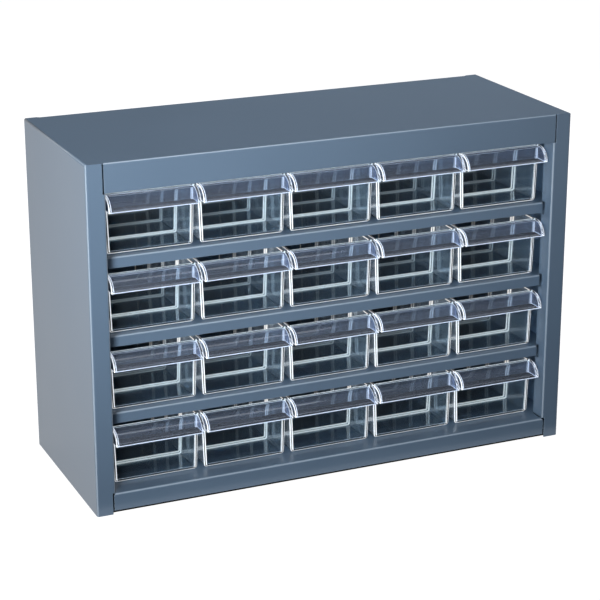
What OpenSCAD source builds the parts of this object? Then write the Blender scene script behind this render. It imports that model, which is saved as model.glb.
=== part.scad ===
// Parts bin cabinet: a folded sheet-steel case with three shelves and
// clear moulded drawers that slide out over the shelves' front edges.
// Units are millimetres. The drawers face -Y, +X is to the right and the
// origin is on the ground, under the middle of the case.

/* [Case] */
// Overall width of the case
case_w = 438; // [400:1:480]
// Overall height of the case
case_h = 300; // [299:1:330]
// Overall depth of the case
case_d = 170; // [150:1:220]
// Thickness of the sheet steel
sheet_t = 0.9; // [0.7:0.1:1.2]
// Outside radius of the folds
fold_r = 2; // [1.5:0.1:2.5]
// Width of the front stiles
stile_w = 16.5; // [14:0.5:20]
// Depth of the flange that turns back from each stile
return_d = 16; // [15:1:20]
// Height of the rail above the top row of drawers
top_rail_h = 24.5; // [20:0.5:26]
// Height of the floor of the bottom row above the ground
floor_h = 18.5; // [14:0.1:19]
// Gap between the ground and the bottom rail
bottom_gap = 3.2; // [1:0.1:4]
// How far a rail reaches past the stile's inner fold
rail_reach = 1.3; // [0.5:0.1:2]
// Slit between the end of a rail and its stile
rail_slit = 1.2; // [0.6:0.1:1.5]
// Width of the flanges along the back and under the sides
flange_w = 12; // [10:1:14]

/* [Shelves] */
// Depth from the top of the case to the top of the first shelf
first_shelf = 81.7; // [80:0.1:83]
// Distance from shelf to shelf
shelf_pitch = 67; // [65:0.5:67.5]
// Height of a shelf's front lip
lip_h = 9.5; // [7:0.5:10]
// Distance from the front of the case to a shelf's lip
lip_setback = 13.5; // [10:0.5:15]

/* [Drawers] */
// Height of a drawer's walls
drawer_h = 51; // [46:0.5:51.5]
// Distance from the front of the case to a drawer's front wall
front_setback = 19; // [17:0.5:24]
// Free space behind a closed drawer
rear_gap = 4.7; // [3:0.1:12]
// Thickness of the drawer's walls
wall_t = 2; // [1.4:0.1:2.2]
// Draft of the side walls, in degrees
draft = 2; // [1:0.5:3]
// Gap between the outer hoods and the stiles
side_gap = 3.2; // [2:0.1:4]
// Gap between neighbouring hoods
hood_gap = 2.2; // [2:0.1:4]
// How far the body's top edge is narrower than the hood, each side
hood_overhang = 0.5; // [0.3:0.1:1.5]
// How far the hood stands out in front of the front wall
hood_out = 15.5; // [13:0.5:16.5]
// Radius of the hood's rounded front
hood_r = 12; // [10:0.5:12.5]
// Height of a divider rib above the wall
rib_out = 0.8; // [0.5:0.1:1]
// Distance between pairs of divider ribs
rib_pitch = 35; // [30:0.5:38]

/* [Hidden] */
rows = 4;
columns = 5;
shelves = rows - 1;

front_y = -case_d / 2;
back_y = case_d / 2;
side_x = case_w / 2;
bay_w = case_w - 2 * stile_w;        // clear width between the stiles
rail_w = bay_w + 2 * rail_reach;
shoulder_h = 0.6;                    // from a rail's edge to the end of the return flange
notch_room = 1.2;                    // room above and below a shelf's lip where it passes a return flange
notch_front = 2.7;                   // room in front of it
rail_corner_r = 3;                   // rounding of the bottom rail's upper corners
weld_gap = 0.3;                      // room between a panel and its neighbours
floor_gap = 0.2;                     // running gap under a drawer

column_pitch = (bay_w - 2 * side_gap + hood_gap) / columns;
hood_w = column_pitch - hood_gap;
hood_t = 1.6;                        // thickness of the hood's shell
hood_end_t = 2;                      // thickness of the hood's end plates
hood_drop = hood_r + 0.2;            // from the drawer's top edge down to the hood's lip
body_top_w = hood_w - 2 * hood_overhang;
body_l = case_d - front_setback - rear_gap - 2 * sheet_t;
corner_r = 3.5;                      // rounding between the floor and the walls
rib_t = 1.2;                         // thickness of one divider rib
rib_slot = 2.8;                      // slot between the two ribs of a pair
rib_pairs = floor((body_l - rib_pitch / 2) / rib_pitch);
lug_room = 3.2;                      // room above the stop lugs in the lowest row
lug_h = min(shelf_pitch, row_floor(shelves) - floor_h) - sheet_t - floor_gap - lug_room;
lug_l = 8;                           // length of a stop lug
lug_setback = 22;                    // from the drawer's back to its stop lugs

steel = "#5F7388";
shadow_steel = "#4C5D70";
clear_plastic = [0.86, 0.90, 0.95, 0.45];

function drawer_name(row, column) = str("drawer_r", row, "_c", column);
// Height of the top face of the sheet that a row of drawers stands on; row 1 is the top row
function row_floor(row) = row < rows ? case_h - first_shelf - (row - 1) * shelf_pitch : floor_h;
// Points on an arc, from angle a to angle b
function arc(x, y, r, a, b, steps) =
    [for (i = [0:steps]) [x + r * cos(a + (b - a) * i / steps), y + r * sin(a + (b - a) * i / steps)]];

// ---- flat shapes that the sheets are cut from ----

// A rectangle from one corner to the other
module area(x0, y0, x1, y1) {
    translate([x0, y0]) square([x1 - x0, y1 - y0]);
}

// A rectangle with round corners
module round_area(x0, y0, x1, y1, r) {
    area(x0 + r, y0, x1 - r, y1);
    area(x0, y0 + r, x1, y1 - r);
    for (x = [x0 + r, x1 - r], y = [y0 + r, y1 - r]) translate([x, y]) circle(r, $fn = 48);
}

// The wall of a folded tube, one sheet thick
module folded_tube(x0, y0, x1, y1) {
    difference() {
        round_area(x0, y0, x1, y1, fold_r);
        round_area(x0 + sheet_t, y0 + sheet_t, x1 - sheet_t, y1 - sheet_t, fold_r - sheet_t);
    }
}

// Extrudes a shape drawn in Y and Z along X, centred on the case
module along_x(length) {
    rotate([90, 0, 90]) linear_extrude(length, center = true) children();
}

// A box from one corner to the other
module block(low, high) {
    translate(low) cube(high - low);
}

// ---- the folded case ----

// Plan of the right side: stile, return flange, wall and rear flange
module side_plan() {
    difference() {
        folded_tube(side_x - stile_w, front_y, side_x, back_y);
        area(side_x - stile_w - 1, front_y + return_d, side_x - sheet_t, back_y - fold_r);
        area(side_x - stile_w - 1, back_y - fold_r - 1, side_x - flange_w, back_y + 1);
    }
}

// Cuts in a side's return flange: none beside the rails, notches where the shelves pass
module return_cuts() {
    behind = front_y + return_d + 1;
    for (ends = [[-1, floor_h + shoulder_h], [case_h - top_rail_h - shoulder_h, case_h + 1]])
        block([bay_w / 2 - 1, front_y - 1, ends[0]], [rail_w / 2 + rail_slit, behind, ends[1]]);
    for (row = [1:shelves])
        translate([bay_w / 2 - 1, 0, row_floor(row)]) rotate([90, 0, 90]) linear_extrude(fold_r + 1)
            round_area(front_y + lip_setback - notch_front, -lip_h - notch_room, behind + 1, notch_room, 1);
}

// One side with its foot flange, which the case stands on
module side_sheet() {
    difference() {
        linear_extrude(case_h) side_plan();
        return_cuts();
    }
    block([side_x - flange_w, front_y + return_d, 0], [side_x - sheet_t / 2, back_y - fold_r, sheet_t]);
}

// Section through the top: front rail, top face and rear flange
module top_section() {
    difference() {
        folded_tube(front_y, case_h - 3 * top_rail_h, back_y, case_h);
        area(front_y - 1, case_h - 3 * top_rail_h - 1, back_y + 1, case_h - top_rail_h);
        area(front_y + fold_r, case_h - top_rail_h - 1, back_y + 1, case_h - flange_w);
    }
}

// The top between the two sides; its rails stop short of the stiles and rear flanges
module top_sheet() {
    rail_end = rail_w / 2;
    difference() {
        along_x(case_w - 2 * sheet_t) top_section();
        for (side = [-1, 1]) scale([side, 1, 1]) {
            block([rail_end, front_y - 1, case_h - top_rail_h - 1], [side_x, front_y + fold_r, case_h + 1]);
            block([side_x - flange_w - rail_slit, back_y - fold_r, case_h - top_rail_h - 1],
                  [side_x, back_y + 1, case_h + 1]);
        }
    }
    // the flat ends of the top lie over the stiles and the rear flanges
    for (side = [-1, 1]) scale([side, 1, 1]) {
        block([rail_end, front_y + sheet_t, case_h - sheet_t], [side_x - sheet_t, front_y + fold_r, case_h]);
        block([side_x - flange_w - rail_slit, back_y - fold_r, case_h - sheet_t],
              [side_x - sheet_t, back_y - sheet_t, case_h]);
    }
}

// Both sides and the top, folded from one sheet
module wrapper() {
    relief_r = 1.4;
    color(steel) difference() {
        intersection() {
            union() {
                top_sheet();
                for (side = [0, 1]) mirror([side, 0, 0]) side_sheet();
            }
            rotate([90, 0, 0]) linear_extrude(case_d + 2, center = true)
                round_area(-side_x, -2 * fold_r, side_x, case_h, fold_r);
        }
        // relief holes where three folds would meet
        for (x = [-side_x, side_x], y = [front_y, back_y]) translate([x, y, case_h]) sphere(relief_r, $fn = 24);
    }
}

// Outline of a shelf or floor: narrow between the return flanges, full width behind them
module tray_plan(front) {
    narrow = bay_w / 2 - weld_gap;
    wide = side_x - sheet_t;
    behind = front_y + return_d + weld_gap;
    area(-narrow, front, narrow, behind);
    area(-wide, behind, wide, back_y - fold_r);
}

// A fold along X: a face whose front edge turns down
module front_fold(front, top, drop) {
    difference() {
        folded_tube(front, top - 3 * drop, front + 6 * fold_r, top);
        area(front - 1, top - 3 * drop - 1, front + 7 * fold_r, top - drop);
        area(front + fold_r, top - drop - 1, front + 7 * fold_r, top - sheet_t);
        area(front + 2 * fold_r, top - sheet_t - 1, front + 7 * fold_r, top + 1);
    }
}

// A level sheet with its front edge and its two side edges turned down
module tray(front, top, lip, lip_w, side_drop) {
    translate([0, 0, top - sheet_t]) linear_extrude(sheet_t) difference() {
        tray_plan(front);
        area(-side_x, front - 1, side_x, front + 2 * fold_r);
    }
    along_x(lip_w) front_fold(front, top, lip);
    for (side = [-1, 1]) scale([side, 1, 1])
        block([side_x - 2 * sheet_t, front_y + return_d + weld_gap, top - side_drop],
              [side_x - sheet_t, back_y - fold_r, top - sheet_t]);
}

module shelf(row) {
    color(shadow_steel)
        tray(front_y + lip_setback, row_floor(row), lip_h, bay_w - 2 * weld_gap, lip_h);
}

module bottom_panel() {
    color(steel) intersection() {
        tray(front_y, floor_h, floor_h - bottom_gap, rail_w, floor_h - sheet_t - weld_gap);
        // the rail's two upper corners are rounded, the floor behind it is not
        union() {
            block([-side_x, front_y + fold_r, 0], [side_x, back_y, floor_h]);
            rotate([90, 0, 0]) translate([0, 0, -front_y - fold_r]) linear_extrude(fold_r)
                round_area(-rail_w / 2, -rail_corner_r, rail_w / 2, floor_h, rail_corner_r);
        }
    }
}

// Lies against the rear flanges of the wrapper
module back_panel() {
    edge = fold_r + weld_gap;
    color(shadow_steel)
        block([-side_x + edge, back_y - 2 * sheet_t, edge], [side_x - edge, back_y - sheet_t, case_h - edge]);
}

// ---- a drawer, drawn with its front wall on y = 0 and its underside on z = 0 ----

// Section of the body, drawn in X and Z; inset moves every wall in
module body_section(inset, top) {
    r = max(corner_r - inset, 0.6);
    slope = tan(draft);
    half_top = body_top_w / 2 - inset / cos(draft) + (top - drawer_h) * slope;
    half_low = body_top_w / 2 - inset / cos(draft) - (drawer_h - inset) * slope;
    // centre of the corner's arc, which ends level with the floor and along the side wall
    centre_x = half_low + r * slope - r / cos(draft);
    right = arc(centre_x, inset + r, r, -90, -draft, 4);
    left = [for (i = [len(right) - 1:-1:0]) [-right[i][0], right[i][1]]];
    polygon(concat(right, [[half_top, top], [-half_top, top]], left));
}

// Side view of the body, drawn in Y and Z, with both lower ends round
module body_profile(inset, top) {
    r = corner_r - inset;
    polygon(concat([[inset, top]], arc(inset + r, inset + r, r, 180, 270, 4),
                   arc(body_l - inset - r, inset + r, r, 270, 360, 4), [[body_l - inset, top]]));
}

// A slice of a section, from one place along the body to another
module body_slice(from, to) {
    translate([0, to, 0]) rotate([90, 0, 0]) linear_extrude(to - from) children();
}

// Where the ribs of a pair begin and end, measured from the front wall
function rib_edges(pair) = let (middle = pair * rib_pitch + wall_t)
    [middle - rib_slot / 2 - rib_t, middle - rib_slot / 2, middle + rib_slot / 2, middle + rib_slot / 2 + rib_t];
// The stretches of wall between the ribs
function bays() = let (edges = [wall_t, each [for (pair = [1:rib_pairs]) each rib_edges(pair)], body_l - wall_t])
    [for (i = [0:2:len(edges) - 1]) [edges[i], edges[i + 1]]];

// The body: an open box with draft on its sides and pairs of ribs for dividers
module drawer_body() {
    above = drawer_h + 5;
    difference() {
        intersection() {
            body_slice(0, body_l) body_section(0, drawer_h);
            along_x(hood_w) body_profile(0, above);
        }
        intersection() {
            union() {
                body_slice(wall_t, body_l - wall_t) body_section(wall_t + rib_out, above);
                for (bay = bays()) body_slice(bay[0], bay[1]) body_section(wall_t, above);
            }
            along_x(hood_w) body_profile(wall_t, above + 1);
        }
    }
}

// Section of the hood, drawn in Y and Z: flat, then round to its lip
module hood_outline(r, top, foot) {
    polygon(concat([[wall_t, top]], arc(hood_r - hood_out, drawer_h - hood_r, r, 90, 180, 8),
                   [[hood_r - hood_out - r, foot], [wall_t, foot]]));
}

// The curved hood over the front wall, which is the handle
module hood() {
    lip_z = drawer_h - hood_drop;
    along_x(hood_w) difference() {
        hood_outline(hood_r, drawer_h, lip_z);
        hood_outline(hood_r - hood_t, drawer_h - hood_t, lip_z - 1);
    }
    for (side = [-1, 1]) translate([side * (hood_w - hood_end_t) / 2, 0, 0])
        along_x(hood_end_t) hood_outline(hood_r, drawer_h, lip_z);
}

// Lugs on the side walls that meet the lip above and stop an open drawer
module stop_lugs() {
    outer = body_top_w / 2 - 0.15;
    lug_y = body_l - lug_setback - lug_l;
    for (side = [-1, 1]) scale([side, 1, 1])
        block([outer - wall_t + 0.2, lug_y, drawer_h - 3], [outer, lug_y + lug_l, lug_h]);
}

module drawer() {
    color(clear_plastic) {
        drawer_body();
        hood();
        stop_lugs();
    }
}

// A drawer pushed home in its place in the case
module placed_drawer(row, column) {
    middle = (columns + 1) / 2;
    translate([(column - middle) * column_pitch, front_y + front_setback, row_floor(row) + floor_gap]) drawer();
}

wrapper();
bottom_panel();
back_panel();
for (row = [1:shelves]) shelf(row);
for (row = [1:rows], column = [1:columns])
    placed_drawer(row, column);
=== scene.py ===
# %% [markdown]
# # A parts bin cabinet
# The real object is a case of folded sheet steel, baked with blue-grey enamel, that carries
# four rows of five clear drawers. Each drawer is one moulding of clear polystyrene: a
# drafted box with a curved hood over its front wall, which fingers hook under to pull it.
#
# The measured frame already holds every part as a plain solid that rides on a body. This
# lesson dresses those parts: it softens the cut edges of the steel, models one drawer as by
# hand, copies it to its twenty places, and gives both materials their finish.

# %% Load the frame
import math

import bpy
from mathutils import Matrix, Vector


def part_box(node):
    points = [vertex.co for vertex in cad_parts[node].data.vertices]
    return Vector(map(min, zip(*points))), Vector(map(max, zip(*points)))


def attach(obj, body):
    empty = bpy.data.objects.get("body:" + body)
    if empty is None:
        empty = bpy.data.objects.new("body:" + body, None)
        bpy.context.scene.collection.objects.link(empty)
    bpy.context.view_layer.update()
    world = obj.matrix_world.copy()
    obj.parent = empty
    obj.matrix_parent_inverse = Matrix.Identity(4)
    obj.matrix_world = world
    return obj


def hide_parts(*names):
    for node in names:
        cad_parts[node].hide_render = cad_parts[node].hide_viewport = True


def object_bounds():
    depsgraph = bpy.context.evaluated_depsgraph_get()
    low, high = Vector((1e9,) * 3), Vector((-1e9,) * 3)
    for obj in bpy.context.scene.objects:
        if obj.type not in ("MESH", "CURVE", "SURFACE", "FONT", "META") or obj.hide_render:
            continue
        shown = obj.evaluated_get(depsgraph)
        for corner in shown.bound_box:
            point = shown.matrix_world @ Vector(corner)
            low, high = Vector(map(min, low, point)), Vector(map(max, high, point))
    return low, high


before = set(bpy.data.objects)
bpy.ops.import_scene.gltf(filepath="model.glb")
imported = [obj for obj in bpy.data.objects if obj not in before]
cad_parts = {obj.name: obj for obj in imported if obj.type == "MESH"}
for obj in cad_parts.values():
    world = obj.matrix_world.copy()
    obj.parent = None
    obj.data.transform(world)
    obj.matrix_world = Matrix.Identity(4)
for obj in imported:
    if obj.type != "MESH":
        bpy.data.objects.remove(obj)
frame_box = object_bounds()
print("frame", [tuple(round(v, 3) for v in corner) for corner in frame_box])

# %% [markdown]
# ## Small helpers
# Drawings of such a cabinet are in millimetres and Blender works in metres, so every size
# of the object is written in millimetres and turned by one factor. An operator acts on all
# that is selected, and the frame arrives selected, so each step starts from a clean slate.

# %% Millimetres and a clean slate
MM = 0.001


def start():
    """Leaves edit mode and deselects everything."""
    if bpy.context.object and bpy.context.object.mode != "OBJECT":
        bpy.ops.object.mode_set(mode="OBJECT")
    bpy.ops.object.select_all(action="DESELECT")


def activate(piece):
    """Makes a piece the only selected one, and the active one."""
    start()
    piece.select_set(True)
    bpy.context.view_layer.objects.active = piece


def block(name, low, high):
    """A box between two corners in millimetres, with its place kept in its mesh."""
    start()
    middle = [(a + b) / 2 * MM for a, b in zip(low, high)]
    size = [(b - a) * MM for a, b in zip(low, high)]
    bpy.ops.mesh.primitive_cube_add(size=1, location=middle, scale=size)
    bpy.ops.object.transform_apply(location=True, rotation=True, scale=True)
    piece = bpy.context.object
    piece.name = name
    return piece


start()
print("parts to dress", len(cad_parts))

# %% [markdown]
# With a mouse one clicks on the edge to bevel. In code the same edge is found by its place:
# `pick` opens a piece in edit mode with just those corners, edges or faces selected whose
# middle, in millimetres, passes a test. The test also gets a direction: the normal of a
# corner or face, or the way from one end of an edge to the other. Places come out with
# small errors, so a place counts as on a plane when it is within half a millimetre of it,
# and a face counts as facing along an axis when its normal is nearly on that axis.

# %% Pick by place
NEAR = 0.5
FACING = 0.9


def pick(piece, kind, test):
    """Opens a piece in edit mode with what passes test(middle, direction) selected."""
    activate(piece)
    bpy.ops.object.mode_set(mode="EDIT")
    bpy.ops.mesh.select_mode(type=kind)
    bpy.ops.mesh.select_all(action="DESELECT")
    bpy.ops.object.mode_set(mode="OBJECT")
    mesh = piece.data
    spots = [vertex.co / MM for vertex in mesh.vertices]
    if kind == "VERT":
        found = [(vertex, spots[vertex.index], vertex.normal) for vertex in mesh.vertices]
    elif kind == "EDGE":
        ends = [(edge, *[spots[i] for i in edge.vertices]) for edge in mesh.edges]
        found = [(edge, (a + b) / 2, b - a) for edge, a, b in ends]
    else:
        found = [(face, face.center / MM, face.normal) for face in mesh.polygons]
    for part, middle, direction in found:
        part.select = bool(test(middle, direction))
    bpy.ops.object.mode_set(mode="EDIT")


def everything(middle, direction):
    """The test that all parts of a mesh pass."""
    return True


def add_modifier(piece, kind, **settings):
    """Adds a modifier with its settings and applies it."""
    activate(piece)
    bpy.ops.object.modifier_add(type=kind)
    modifier = piece.modifiers[-1]
    for setting, value in settings.items():
        setattr(modifier, setting, value)
    bpy.ops.object.modifier_apply(modifier=modifier.name)


print("on a plane within", NEAR, "mm, facing an axis past", FACING)

# %% [markdown]
# ## Colour and shader nodes
# A colour is given as an sRGB hex value, but light adds up in linear values, so one function turns
# the first into the second. Another adds a node, sets its inputs and makes its links, which keeps
# each material a short list from top to bottom. An input is given by its name or, where several
# inputs share a name, by its number after an underscore. A Mix node, for example, keeps its two
# colours in inputs 6 and 7 and the mixed one in output 2.

# %% Colours and nodes
MIXED_COLOUR = 2


def linear(code):
    """An sRGB hex colour as the linear RGBA that a shader takes."""
    parts = [int(code[i:i + 2], 16) / 255 for i in (1, 3, 5)]
    light = [((part + 0.055) / 1.055) ** 2.4 if part > 0.04045 else part / 12.92 for part in parts]
    return (*light, 1.0)


def add_node(tree, kind, settings=None, **inputs):
    """Adds a node. An input takes a value, or an output socket that it is linked to."""
    node = tree.nodes.new(kind)
    for setting, value in (settings or {}).items():
        setattr(node, setting, value)
    for name, value in inputs.items():
        socket = node.inputs[int(name[1:]) if name[0] == "_" else name.replace("_", " ")]
        if isinstance(value, bpy.types.NodeSocket):
            tree.links.new(value, socket)
        else:
            socket.default_value = value
    return node


def new_material(name):
    """An empty node material, its tree and its output node."""
    material = bpy.data.materials.new(name)
    material.use_nodes = True
    tree = material.node_tree
    tree.nodes.clear()
    return material, tree, tree.nodes.new("ShaderNodeOutputMaterial")


print("enamel blue", [round(part, 3) for part in linear("#5E7389")])

# %% [markdown]
# ## Baked enamel on sheet steel
# The case is sprayed with a blue-grey alkyd enamel and baked. The film is smooth and half
# glossy: it shows a soft sheen of whatever is beside it, and a faint orange peel, the slow
# ripple that sprayed paint keeps when it has flowed out. One flat colour would look like
# plastic, so Noise lets its depth drift a little over some 70 mm, and a finer Noise with
# ripples 1.5 mm across and only microns high makes the peel.
#
# Along each fold the crests get a second, paler and glossier enamel, a painted highlight, which
# draws the light line that follows every fold.

# %% The enamel
DRIFT = 70
PEEL = 1.5
PEEL_HEIGHT = 0.05


def baked_enamel(name, colours, smoothest, roughest):
    """Paint whose colour and roughness drift from one value to another, with an orange peel."""
    material, tree, output = new_material(name)
    place = add_node(tree, "ShaderNodeTexCoord").outputs["Object"]
    drift = add_node(tree, "ShaderNodeTexNoise", Vector=place, Scale=1 / (DRIFT * MM), Detail=2.0)
    shade = add_node(tree, "ShaderNodeMix", {"data_type": "RGBA"}, _0=drift.outputs["Fac"],
                     _6=linear(colours[0]), _7=linear(colours[1]))
    peel = add_node(tree, "ShaderNodeTexNoise", Vector=place, Scale=1 / (PEEL * MM), Detail=1.0)
    bump = add_node(tree, "ShaderNodeBump", Strength=0.06, Distance=PEEL_HEIGHT * MM,
                    Height=peel.outputs["Fac"])
    gloss = add_node(tree, "ShaderNodeMapRange", Value=drift.outputs["Fac"],
                     To_Min=smoothest, To_Max=roughest)
    paint = add_node(tree, "ShaderNodeBsdfPrincipled", Base_Color=shade.outputs[MIXED_COLOUR],
                     IOR=1.5, Roughness=gloss.outputs[0], Normal=bump.outputs[0])
    tree.links.new(paint.outputs[0], output.inputs["Surface"])
    return material


# the eye sees a soft blue-grey sheen on the sheets, and thin pale lines along the folds, which are
# painted highlights
enamel = baked_enamel("baked enamel on sheet steel", ("#5E7389", "#64798F"),
                      smoothest=0.29, roughest=0.36)
# the paler, glossier enamel of the crests paints the highlight along each fold
highlighted = baked_enamel("enamel rubbed along the folds", ("#93A5B7", "#9CABBB"),
                      smoothest=0.18, roughest=0.23)
print("materials", enamel.name, "and", highlighted.name)

# %% [markdown]
# ## Moulded clear polystyrene
# General-purpose polystyrene is glass clear and bends light more than acrylic does, with an index
# of 1.59. It comes out of a polished mould with a slow waviness where the walls cooled, a ripple
# some 14 mm long. Its shadow is tinted: for rays that ask whether light gets through, the plastic
# is a plain see-through that dims them far more than its clear faces would, as painted shade that
# keeps the inside of the case dark. Real caustics would take far more samples than walls this thin
# are worth.

# %% The clear plastic
FLOW = 14
FLOW_HEIGHT = 0.3
# the shares of red, green and blue light that pass each face, set low as painted shade for the
# inside of the case
LIGHT_THROUGH_A_WALL = (0.48, 0.51, 0.54, 1)
COOL_LIGHT = "#F6FAFF"


def clear_polystyrene(name, colour, clearness, roughness, glow=0, light=COOL_LIGHT):
    """Plastic that is clear by a share and pale for the rest, and may have a light of its own."""
    material, tree, output = new_material(name)
    place = add_node(tree, "ShaderNodeTexCoord").outputs["Object"]
    flow = add_node(tree, "ShaderNodeTexNoise", Vector=place, Scale=1 / (FLOW * MM), Detail=1.0)
    bump = add_node(tree, "ShaderNodeBump", Strength=0.08, Distance=FLOW_HEIGHT * MM,
                    Height=flow.outputs["Fac"])
    plastic = add_node(tree, "ShaderNodeBsdfPrincipled", Base_Color=linear(colour), IOR=1.59,
                       Roughness=roughness, Transmission_Weight=clearness, Normal=bump.outputs[0],
                       Emission_Color=linear(light), Emission_Strength=glow)
    see_through = add_node(tree, "ShaderNodeBsdfTransparent", Color=LIGHT_THROUGH_A_WALL)
    path = add_node(tree, "ShaderNodeLightPath")
    both = add_node(tree, "ShaderNodeMixShader", _0=path.outputs["Is Shadow Ray"],
                    _1=plastic.outputs[0], _2=see_through.outputs[0])
    tree.links.new(both.outputs[0], output.inputs["Surface"])
    return material


# the walls are clear with a touch of blue
polystyrene = clear_polystyrene("moulded clear polystyrene", "#D3E4EE",
                                clearness=0.99, roughness=0.03)
# the hood is made a little milky, a painted reflection of the pale veil across its curl
hood_veil = clear_polystyrene("polystyrene hazed as a painted veil on the hood", "#CBD8EE",
                            clearness=0.935, roughness=0.05)
# the side walls are made faintly milky, paler than the other walls
milky_walls = clear_polystyrene("polystyrene made faintly milky on the side walls", "#D9E5F0",
                            clearness=0.88, roughness=0.08)
print("walls", [material.name for material in (polystyrene, hood_veil, milky_walls)])

# %% [markdown]
# The eye finds such a drawer by its edges. Light that enters a wall runs along inside it and leaves
# at the edges, which shine white. A path tracer would need thousands of samples for that, so each
# edge is painted near white and has a weak, even glow of its own as a stand-in: painted light, in
# three grades. The front glows most, the first ribs behind it less, and all that lies deeper in the
# case only faintly, as painted shade. The inner edges are seen through walls with a touch of blue,
# so their own light is a little warmer, and they still look white from outside.

# %% Three grades of painted edge glow
# edges are painted near white and only partly clear, a painted highlight
EDGE_PAINTED_WHITE = "#F4F8FA"
EDGE_CLEARNESS = 0.4
EDGE_ROUGHNESS = 0.15
WARM_LIGHT = "#FFF6EC"


def shining_edge(name, glow, light):
    """The finish of an edge: near-white paint and a painted glow of its own."""
    return clear_polystyrene(name, EDGE_PAINTED_WHITE, EDGE_CLEARNESS, EDGE_ROUGHNESS, glow, light)


# the glow fades with depth in the case, as painted shade
front_edge_glow = shining_edge("polystyrene edge with painted glow at the front", glow=0.62, light=COOL_LIGHT)
rib_edge_glow = shining_edge("polystyrene edge with painted glow at the first ribs", glow=0.46, light=WARM_LIGHT)
shaded_edge_glow = shining_edge("polystyrene edge with faint painted glow in the shade", glow=0.06, light=WARM_LIGHT)
print("edges", [material.name for material in (front_edge_glow, rib_edge_glow, shaded_edge_glow)])

# %% [markdown]
# ## The folded case
# The case is a wrapper folded from one sheet, a bottom, a back and three shelves, each with
# its edges turned down. The frame's solids already have every fold and slit, so modelling
# them again would gain nothing. Only their cut edges are as sharp as a drawing. Each sheet
# is copied, its loose triangles are welded into whole faces, and from there on it can be
# worked like any mesh.

# %% Copy a sheet out of the frame
WELD = 0.001
FLAT_ANGLE = 0.5


def weld():
    """Merges what is selected where it meets, and makes flat faces whole."""
    bpy.ops.mesh.remove_doubles(threshold=WELD * MM)
    bpy.ops.mesh.dissolve_limited(angle_limit=math.radians(FLAT_ANGLE))


def welded_copy(node, name):
    """A copy of a node's mesh, merged, with its flat faces made whole."""
    start()
    piece = bpy.data.objects.new(name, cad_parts[node].data.copy())
    bpy.context.collection.objects.link(piece)
    pick(piece, "VERT", everything)
    weld()
    start()
    return piece


sheets = {}
for node in ["wrapper", "bottom_panel", "back_panel", "shelf_1", "shelf_2", "shelf_3"]:
    sheets[node] = welded_copy(node, f"enamelled_{node}")
    print(node, "has", len(sheets[node].data.polygons), "whole faces")

# %% [markdown]
# Real sheet is sheared and then painted, which leaves a round of about a quarter millimetre
# on each cut edge, and that round is what catches the light. A Bevel modifier could do it by
# angle, but it would also take the small edges by the relief holes in the upper corners,
# where a bevel folds over itself. So the bevel is made on picked edges: those that turn by
# more than 50 degrees, which leaves the folds' own arcs as they are. Weighted normals keep
# the large flat faces flat to the eye.

# %% Round the cut edges
CUT_EDGE_R = 0.25
case_high = Vector(frame_box[1]) / MM
# how far in from the case's sides, its front and back and its top the relief holes lie
RELIEF_REACH = (21, 5, 5)


def round_edges(piece, radius, turn=50, keep=lambda middle: False, finish=-1):
    """Rounds the edges that turn by more than an angle, apart from those to keep."""
    activate(piece)
    bpy.ops.object.mode_set(mode="EDIT")
    bpy.ops.mesh.select_mode(type="EDGE")
    bpy.ops.mesh.select_all(action="DESELECT")
    bpy.ops.mesh.edges_select_sharp(sharpness=math.radians(turn))
    bpy.ops.object.mode_set(mode="OBJECT")
    sharp = iter([edge.select for edge in piece.data.edges])
    pick(piece, "EDGE", lambda middle, span: next(sharp) and not keep(middle))
    bpy.ops.mesh.bevel(offset=radius * MM, segments=3, affect="EDGES", clamp_overlap=False,
                       material=finish)
    activate(piece)
    bpy.ops.object.shade_smooth_by_angle(angle=math.radians(turn))
    add_modifier(piece, "WEIGHTED_NORMAL", mode="FACE_AREA", keep_sharp=True)


def by_relief_hole(middle):
    """True at the upper corners, where the folds of top, side and stile meet in a small hole."""
    gaps = [high - abs(part) for high, part in zip(case_high, middle)]
    return all(gap < reach for gap, reach in zip(gaps, RELIEF_REACH))


for node, sheet in sheets.items():
    round_edges(sheet, CUT_EDGE_R, keep=by_relief_hole)
    print(sheet.name, "has", len(sheet.data.polygons), "faces with its rounds")

# %% [markdown]
# The faces whose normal points between two directions lie on a fold's crest or on a rounded edge,
# and get the paler enamel, a painted highlight. A painted mask would do the same, but a normal says
# it exactly, and no seam or stretch can show. Then each sheet takes its node's place.

# %% Enamel the sheets and put them in place
FOLD_CREST = 0.88


def across_a_fold(middle, normal):
    """True where the normal points between two axes."""
    return max(abs(part) for part in normal) < FOLD_CREST


def finish_faces(piece, material, test):
    """Gives the faces that pass a test one of the piece's materials."""
    pick(piece, "FACE", test)
    piece.active_material_index = piece.data.materials.find(material.name)
    bpy.ops.object.material_slot_assign()


def dress(piece, node, body):
    """Puts a finished piece in the place of a node."""
    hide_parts(node)
    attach(piece, body)


for node, sheet in sheets.items():
    sheet.data.materials.clear()
    for material in (enamel, highlighted):
        sheet.data.materials.append(material)
    # fold crests and rounded edges get the painted highlight
    finish_faces(sheet, highlighted, across_a_fold)
    dress(sheet, node, "cabinet")
start()
print("case dressed with", len(sheets), "sheets")

# %% [markdown]
# ## One drawer: the box
# The frame gives a drawer's outer box, lugs and hood included. Driving sizes give the rest:
# the height of its rim, the reach of its hood, the wall that small mouldings have, the usual
# two degrees of draft that let it leave the mould, and the round of its lower corners.

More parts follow.
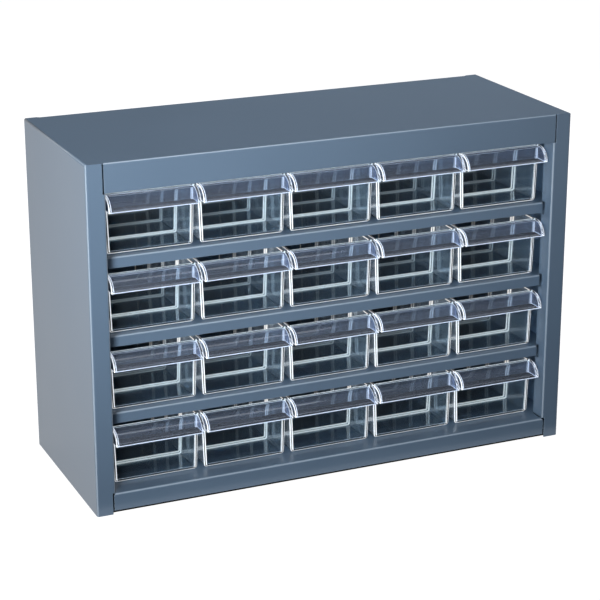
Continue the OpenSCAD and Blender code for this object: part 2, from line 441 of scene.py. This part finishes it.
# %% The drawer's sizes
drawer_low, drawer_high = (Vector(corner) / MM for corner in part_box("drawer_r1_c1"))
DRAWER_H = 51
HOOD_OUT = 15.5
HOOD_OVERHANG = 0.5
WALL = 2
DRAFT = 2
CORNER_R = 3.5
HOOD_W = drawer_high.x - drawer_low.x
BODY_L = drawer_high.y - drawer_low.y - HOOD_OUT
BODY_TOP_W = HOOD_W - 2 * HOOD_OVERHANG
DRAFT_SLOPE = math.tan(math.radians(DRAFT))
print("body", round(BODY_TOP_W, 2), "wide at the top and", round(BODY_L, 2), "long")

# %% [markdown]
# A moulding is easiest to build the way its tool is cut. It starts as a block with its
# underside at height 0 and its front wall on y = 0. Its underside is made narrower for the
# draft, and its lower edges get a 3.5 mm round, as the corners of a mould have.

# %% Block, draft and round corners
body_low_w = BODY_TOP_W - 2 * DRAWER_H * DRAFT_SLOPE
drawer = block("clear_drawer", (-BODY_TOP_W / 2, 0, 0), (BODY_TOP_W / 2, BODY_L, DRAWER_H))
pick(drawer, "VERT", lambda middle, normal: middle.z < NEAR)
bpy.ops.transform.resize(value=(body_low_w / BODY_TOP_W, 1, 1), center_override=(0, 0, 0))
pick(drawer, "EDGE", lambda middle, span: middle.z < NEAR)
bpy.ops.mesh.bevel(offset=CORNER_R * MM, segments=5, affect="EDGES")
start()
print("drafted block", len(drawer.data.vertices), "corners")

# %% [markdown]
# Pairs of thin ribs run down both side walls and across the floor, to hold dividers. They
# could be six bent strips joined to the box, but in the mould each is a groove, so here it
# is a strip of the inner wall that stands proud. The skin is first cut across at every
# rib's edges with Bisect. Later the inner strips between two cuts are pushed inwards.

# %% Cut the skin where the ribs will be
RIB_PAIRS = 3
RIB_PITCH = 35
RIB_T = 1.2
RIB_SLOT = 2.8
rib_strips = []
for pair in range(1, RIB_PAIRS + 1):
    middle_y = pair * RIB_PITCH + WALL
    rib_strips.append((middle_y - RIB_SLOT / 2 - RIB_T, middle_y - RIB_SLOT / 2))
    rib_strips.append((middle_y + RIB_SLOT / 2, middle_y + RIB_SLOT / 2 + RIB_T))
for edge_y in [y for strip in rib_strips for y in strip]:
    pick(drawer, "FACE", everything)
    bpy.ops.mesh.bisect(plane_co=(0, edge_y * MM, 0), plane_no=(0, 1, 0))
start()
print("cut into", len(drawer.data.polygons), "faces")

# %% [markdown]
# Taking the top face away and giving the skin its thickness inwards leaves an even wall,
# which an inset and an extrusion down from the top would not, because the walls lean. The
# draft tips the rim by a few hundredths of a millimetre, so it is pressed flat.

# %% Open the top and give the skin its wall
pick(drawer, "FACE", lambda middle, normal: middle.z > DRAWER_H - NEAR)
bpy.ops.mesh.delete(type="ONLY_FACE")
add_modifier(drawer, "SOLIDIFY", thickness=WALL * MM, offset=-1, use_even_offset=True)
pick(drawer, "VERT", lambda middle, normal: middle.z > DRAWER_H - NEAR)
bpy.ops.transform.resize(value=(1, 1, 0), center_override=(0, 0, DRAWER_H * MM))
start()
print("shell", len(drawer.data.vertices), "corners")

# %% [markdown]
# A strip belongs to the inner wall when its normal points to the middle of the box. The
# operator behind Shrink/Fatten moves each face along its own normal, so a rib stands out
# evenly on the walls, in the round corners and on the floor, where a plain move would push
# it all one way.

# %% Raise the ribs
RIB_OUT = 0.8


def inner_strip(middle, normal):
    """True for the faces of the inner wall between two cuts."""
    to_middle = Vector((0, middle.y, DRAWER_H / 2)) - middle
    return normal.dot(to_middle) > 0 and any(low < middle.y < high for low, high in rib_strips)


pick(drawer, "FACE", inner_strip)
bpy.ops.mesh.extrude_region_shrink_fatten(
    TRANSFORM_OT_shrink_fatten={"value": RIB_OUT * MM, "use_even_offset": True})
start()
print("ribs raised", len(drawer.data.polygons), "faces")

# %% [markdown]
# ## One drawer: the hood and the stop lugs
# The hood is the handle: a sheet that runs forward from the front wall's top edge, curls
# down in a quarter round and is closed by a plate at each end, with an open underside for
# the fingers. A curve could be swept along its width, but then the end plates would have to
# be fitted to it. A block with one edge bevelled by the curl's radius and two faces taken
# away is the whole shape at once, and Solidify gives it its wall. The end plates are a
# little thicker than the curled sheet, so the inside is drawn in sideways.

# %% The hood
HOOD_R = 12
HOOD_T = 1.6
HOOD_END_T = 2
LIP_BELOW_CURL = 0.2
hood_low_z = DRAWER_H - (HOOD_R + LIP_BELOW_CURL)
hood = block("hood", (-HOOD_W / 2, -HOOD_OUT, hood_low_z), (HOOD_W / 2, WALL, DRAWER_H))
pick(hood, "EDGE", lambda middle, span: middle.y < NEAR - HOOD_OUT and middle.z > DRAWER_H - NEAR)
bpy.ops.mesh.bevel(offset=HOOD_R * MM, segments=12, affect="EDGES")
pick(hood, "FACE", lambda middle, normal: normal.z < -FACING or normal.y > FACING)
bpy.ops.mesh.delete(type="ONLY_FACE")
add_modifier(hood, "SOLIDIFY", thickness=HOOD_T * MM, offset=-1, use_even_offset=True)
pick(hood, "VERT", lambda middle, normal: abs(middle.x) < HOOD_W / 2 - NEAR)
drawn_in = (HOOD_W / 2 - HOOD_END_T) / (HOOD_W / 2 - HOOD_T)
bpy.ops.transform.resize(value=(drawn_in, 1, 1), center_override=(0, 0, 0))
start()
print("hood", len(hood.data.polygons), "faces")

# %% [markdown]
# Two lugs stand on the side walls near the back. They meet the sheet above when the drawer
# is pulled out, and stop it. They reach 3 mm down into the walls and stay just inside both
# of a wall's faces, because a Boolean is safest where no two faces lie on each other.

# %% The stop lugs
LUG_L = 8
LUG_SETBACK = 22
LUG_T = 1.8
LUG_SINK = 3
LUG_INSET = 0.15
lug_x = BODY_TOP_W / 2 - LUG_INSET
lug_y = BODY_L - LUG_SETBACK - LUG_L
lug_top = drawer_high.z - drawer_low.z
lugs = []
for side in (-1, 1):
    left, right = sorted((side * lug_x, side * (lug_x - LUG_T)))
    lugs.append(block("lug", (left, lug_y, DRAWER_H - LUG_SINK), (right, lug_y + LUG_L, lug_top)))
start()
print("lugs rise to", round(lug_top, 2), "mm")

# %% [markdown]
# In the mould all of this is one hollow, so Boolean joins box, hood and lugs into a single
# closed skin. The flat faces are still cut up along the ribs and where the pieces met, and
# the weld makes them whole again.

# %% One moulding out of all
for part in [hood] + lugs:
    add_modifier(drawer, "BOOLEAN", operation="UNION", object=part, solver="EXACT")
    activate(part)
    bpy.ops.object.delete()
pick(drawer, "VERT", everything)
weld()
start()
print("moulding", len(drawer.data.polygons), "faces")

# %% [markdown]
# From the front each side wall is seen end-on through the front wall, as a thin bright upright. So
# two cuts on each side, which lean with the draft, part that strip from the rest of the front's
# outer face, and it can get the glowing finish of an edge, a painted highlight for that upright.

# %% Cut out the ends of the side walls
# how far in from the side wall's outer face the strip begins and ends
WALL_END = (1.5, 2.4)


def on_front(middle, normal):
    """True for the outer face of the front wall."""
    return normal.y < -FACING and abs(middle.y) < NEAR


def on_wall_end(middle, normal):
    """True for the strip of the front behind which a side wall ends."""
    half_width = BODY_TOP_W / 2 - (DRAWER_H - middle.z) * DRAFT_SLOPE
    return on_front(middle, normal) and WALL_END[0] < half_width - abs(middle.x) < WALL_END[1]


for side in (-1, 1):
    for depth in WALL_END:
        pick(drawer, "FACE", on_front)
        bpy.ops.mesh.bisect(plane_co=(side * (BODY_TOP_W / 2 - depth) * MM, 0, DRAWER_H * MM),
                            plane_no=(side, 0, -DRAFT_SLOPE))
start()
print("moulding with its wall ends", len(drawer.data.polygons), "faces")

# %% [markdown]
# The faces are told apart by what light does there: the clear walls, the faintly milky side walls,
# the hood made milky as a painted reflection, and the edges. A drawer also shines along the slant
# of its lower front corner, so that strip counts as an edge and gets its painted glow as a
# highlight. The last step rounds every corner of the moulding, because no mould has sharp ones, and
# gives the rounds the finish of an edge. Those are then graded by how deep they lie in the case:
# within 10 mm of the front wall's face, within 45 mm, where the first pair of ribs is, and deeper,
# where a weaker glow paints the shade.

# %% Finish the faces and round the corners
SLANTED = 0.6
MOULD_EDGE_R = 0.55
MOULD_EDGE_TURN = 40
FRONT_DEPTH = 10
RIB_DEPTH = 45
for material in (polystyrene, front_edge_glow, hood_veil, rib_edge_glow, shaded_edge_glow, milky_walls):
    drawer.data.materials.append(material)
front_slot, rib_slot, dark_slot = (drawer.data.materials.find(material.name)
                                   for material in (front_edge_glow, rib_edge_glow, shaded_edge_glow))
finish_faces(drawer, milky_walls, lambda middle, normal: abs(normal.x) > FACING)
# the hood's milkiness is a painted reflection
finish_faces(drawer, hood_veil, lambda middle, normal: middle.y < -NEAR)
# the slanted strip at the lower front corner gets the glowing edge finish, a painted highlight
finish_faces(drawer, front_edge_glow, lambda middle, normal: normal.y < -SLANTED and normal.z < -SLANTED)
# so do the strips where the side walls end, painted as bright uprights
finish_faces(drawer, front_edge_glow, on_wall_end)
round_edges(drawer, MOULD_EDGE_R, turn=MOULD_EDGE_TURN, finish=front_slot)
# edges deeper in the case get the weaker glow, as painted shade
for face in drawer.data.polygons:
    if face.material_index == front_slot and face.center.y > FRONT_DEPTH * MM:
        face.material_index = rib_slot if face.center.y < RIB_DEPTH * MM else dark_slot
print("drawer", len(drawer.data.polygons), "faces")

# %% [markdown]
# ## Twenty drawers
# All twenty come out of one mould, so the model is copied, each copy with its own mesh, and
# moved to its place. An Array would be quicker, but each drawer slides by itself and has to
# be a piece of its own. The frame says where each drawer stands, and the move is applied so
# that the object itself stays at the origin.

# %% Copy the drawer to its places
ROWS = 4
COLUMNS = 5
for row in range(1, ROWS + 1):
    for column in range(1, COLUMNS + 1):
        node = f"drawer_r{row}_c{column}"
        low, high = (Vector(corner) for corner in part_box(node))
        activate(drawer)
        bpy.ops.object.duplicate(linked=False)
        copy = bpy.context.object
        copy.name = f"clear_{node}"
        copy.location = ((low.x + high.x) / 2, low.y + HOOD_OUT * MM, low.z)
        bpy.ops.object.transform_apply(location=True, rotation=False, scale=False)
        dress(copy, node, node)
activate(drawer)
bpy.ops.object.delete()
start()
print("drawers placed", ROWS * COLUMNS)

# %% [markdown]
# ## Floor, light and camera
# From here on sizes and places are in metres, as in a studio. A white sweep under the
# cabinet gives it a white ground and a bright reflection in its side. The floor is mid-grey
# paint under the lamps, with a light of its own for the rays that see it straight, in a
# mirror or through glass. The two add up to white at any distance, which a lit white floor
# would not do, and the floor still shows the cabinet's shadow.

# %% The floor
FLOOR_SIDE = 14
FLOOR_LIGHT = 0.96


def white_for_sight(tree):
    """1 for rays that look, mirror or pass through glass, and 0 for those that light."""
    path = add_node(tree, "ShaderNodeLightPath")
    some = add_node(tree, "ShaderNodeMath", {"operation": "MAXIMUM"},
                    _0=path.outputs["Is Camera Ray"], _1=path.outputs["Is Glossy Ray"])
    return add_node(tree, "ShaderNodeMath", {"operation": "MAXIMUM"}, _0=some.outputs[0],
                    _1=path.outputs["Is Transmission Ray"]).outputs[0]


def lay_sheet(name, width, depth, place, paint):
    """A flat rectangle for the studio, with its middle at a place."""
    start()
    bpy.ops.mesh.primitive_plane_add(size=1, location=place)
    rectangle = bpy.context.object
    rectangle.name = name
    bpy.ops.transform.resize(value=(width, depth, 1))
    rectangle.data.materials.append(paint)
    return rectangle


floor_paint, tree, output = new_material("matt white floor paint")
lit = add_node(tree, "ShaderNodeBsdfDiffuse", Color=linear("#808080"))
glow = add_node(tree, "ShaderNodeEmission", Strength=white_for_sight(tree),
                Color=(FLOOR_LIGHT, FLOOR_LIGHT, FLOOR_LIGHT, 1))
both = add_node(tree, "ShaderNodeAddShader", _0=lit.outputs[0], _1=glow.outputs[0])
tree.links.new(both.outputs[0], output.inputs["Surface"])
floor = lay_sheet("white_floor", FLOOR_SIDE, FLOOR_SIDE, (0, 0, 0), floor_paint)
print("floor", tuple(round(side, 2) for side in floor.dimensions))

# %% [markdown]
# Clear plastic shows best against the dark: a dark room leaves its walls clear, and only
# its edges light up. So the world is white where the camera looks past the cabinet. In
# mirrors and through the plastic it is white up to a low band above the horizon, which is
# the sweep, and nearly dark higher up. The light it gives off comes from a dim grey room.

# %% The studio around it
BAND_TOP = 0.14
BAND_FULL = 0.02
WHITE = (1, 1, 1, 1)
DIM_ROOM = (0.2, 0.2, 0.21, 1)
MIRRORED_ROOM = (0.07, 0.08, 0.09, 1)
world = bpy.data.worlds.new("studio")
bpy.context.scene.world = world
world.use_nodes = True
tree = world.node_tree
tree.nodes.clear()
path = add_node(tree, "ShaderNodeLightPath")
way = add_node(tree, "ShaderNodeTexCoord").outputs["Generated"]
height = add_node(tree, "ShaderNodeSeparateXYZ", Vector=way)
band = add_node(tree, "ShaderNodeMapRange", Value=height.outputs["Z"],
                From_Min=BAND_TOP, From_Max=BAND_FULL)
seen = add_node(tree, "ShaderNodeMath", {"operation": "MULTIPLY"}, _0=band.outputs[0],
                _1=white_for_sight(tree))
white = add_node(tree, "ShaderNodeMath", {"operation": "MAXIMUM"}, _0=seen.outputs[0],
                 _1=path.outputs["Is Camera Ray"])
dim = add_node(tree, "ShaderNodeMix", {"data_type": "RGBA"}, _0=white_for_sight(tree),
               _6=DIM_ROOM, _7=MIRRORED_ROOM)
room = add_node(tree, "ShaderNodeMix", {"data_type": "RGBA"}, _0=white.outputs[0],
                _6=dim.outputs[MIXED_COLOUR], _7=WHITE)
sky = add_node(tree, "ShaderNodeBackground", Color=room.outputs[MIXED_COLOUR])
output = tree.nodes.new("ShaderNodeOutputWorld")
tree.links.new(sky.outputs[0], output.inputs["Surface"])
print("world", world.name)

# %% [markdown]
# The key is one low soft box on the left, aimed at the upper left corner through a narrow
# beam. So the side is the lightest face, the front falls off to the right and downwards, the
# left stile throws a shadow on the lips, and level faces such as the shelves stay dark. The
# top gets its light from overhead, and a box behind keeps the back readable when one walks
# around it. The key and the box behind are left out of mirror images, where they would wash
# out the plastic and the glossy top.

# %% Lamps
CASE_MIDDLE = (0, 0, 0.14)
UPPER_LEFT = (-0.1, -0.085, 0.3)


def soft_box(name, place, size, power, aim=CASE_MIDDLE, beam=180, mirrored=False):
    """A square area lamp, turned to its aim, with its beam in degrees and its power in watts."""
    start()
    to_aim = Vector(aim) - Vector(place)
    bpy.ops.object.light_add(type="AREA", location=place,
                             rotation=to_aim.to_track_quat("-Z", "Y").to_euler())
    lamp = bpy.context.object
    lamp.name = name
    lamp.data.size = size
    lamp.data.energy = power
    lamp.data.spread = math.radians(beam)
    lamp.visible_glossy = mirrored
    return lamp


soft_box("key", (-0.75, -0.85, 0.45), size=0.3, power=1.75, aim=UPPER_LEFT, beam=60)
soft_box("overhead", (0, 0.05, 1.5), size=1.2, power=5.7, mirrored=True)
soft_box("fill from behind", (0.7, 0.9, 0.7), size=0.8, power=8)

# %% [markdown]
# The front of the case would mirror the white floor and turn milky, so a black card lies in front
# of it, out of the camera's sight and without a shadow. A dark sheet under the case is painted
# shade: it stands for the unlit bench there, which shows in the slit below the bottom rail. Both
# are matt black paper, which throws almost no light back.

# %% A black card in front of the drawers
CARD_W = 1.1
CARD_D = 1.25
CARD_PLACE = (0.3, -0.722, 0.002)
black_paper, tree, output = new_material("matt black paper")
paper = add_node(tree, "ShaderNodeBsdfDiffuse", Color=linear("#101010"))
tree.links.new(paper.outputs[0], output.inputs["Surface"])
card = lay_sheet("black_card", CARD_W, CARD_D, CARD_PLACE, black_paper)
card.visible_camera = False
card.visible_shadow = False
print("card", tuple(round(side, 3) for side in card.dimensions))

# %% Painted shade under the case
GROUND_W = 0.432
GROUND_D = 0.164
GROUND_PLACE = (0, 0, 0.0005)
# a dark sheet put under the case as painted shade
ground = lay_sheet("painted_shade_under_case", GROUND_W, GROUND_D, GROUND_PLACE, black_paper)
print("ground", tuple(round(side, 3) for side in ground.dimensions))

# %% [markdown]
# The camera stands 1.72 m away, a little to the left and above, with a long lens, which
# keeps the case's edges close to parallel. Its place is worked out from two angles and a
# distance, as one walks around an object, because those are easier to judge than three
# coordinates.

# %% The camera
SENSOR_W = 36
LENS = 116.72
azimuth = math.radians(-23.69)
elevation = math.radians(18.86)
distance = 1.7202
target = Vector((0.0008, 0, 0.133))
back = Vector((math.sin(azimuth) * math.cos(elevation),
               -math.cos(azimuth) * math.cos(elevation),
               math.sin(elevation)))
start()
bpy.ops.object.camera_add(location=target + back * distance,
                          rotation=(-back).to_track_quat("-Z", "Y").to_euler())
camera = bpy.context.object
camera.data.sensor_width = SENSOR_W
camera.data.lens = LENS
bpy.context.scene.camera = camera
bpy.context.scene.view_settings.view_transform = "Standard"
print("camera", tuple(round(part, 3) for part in camera.location))
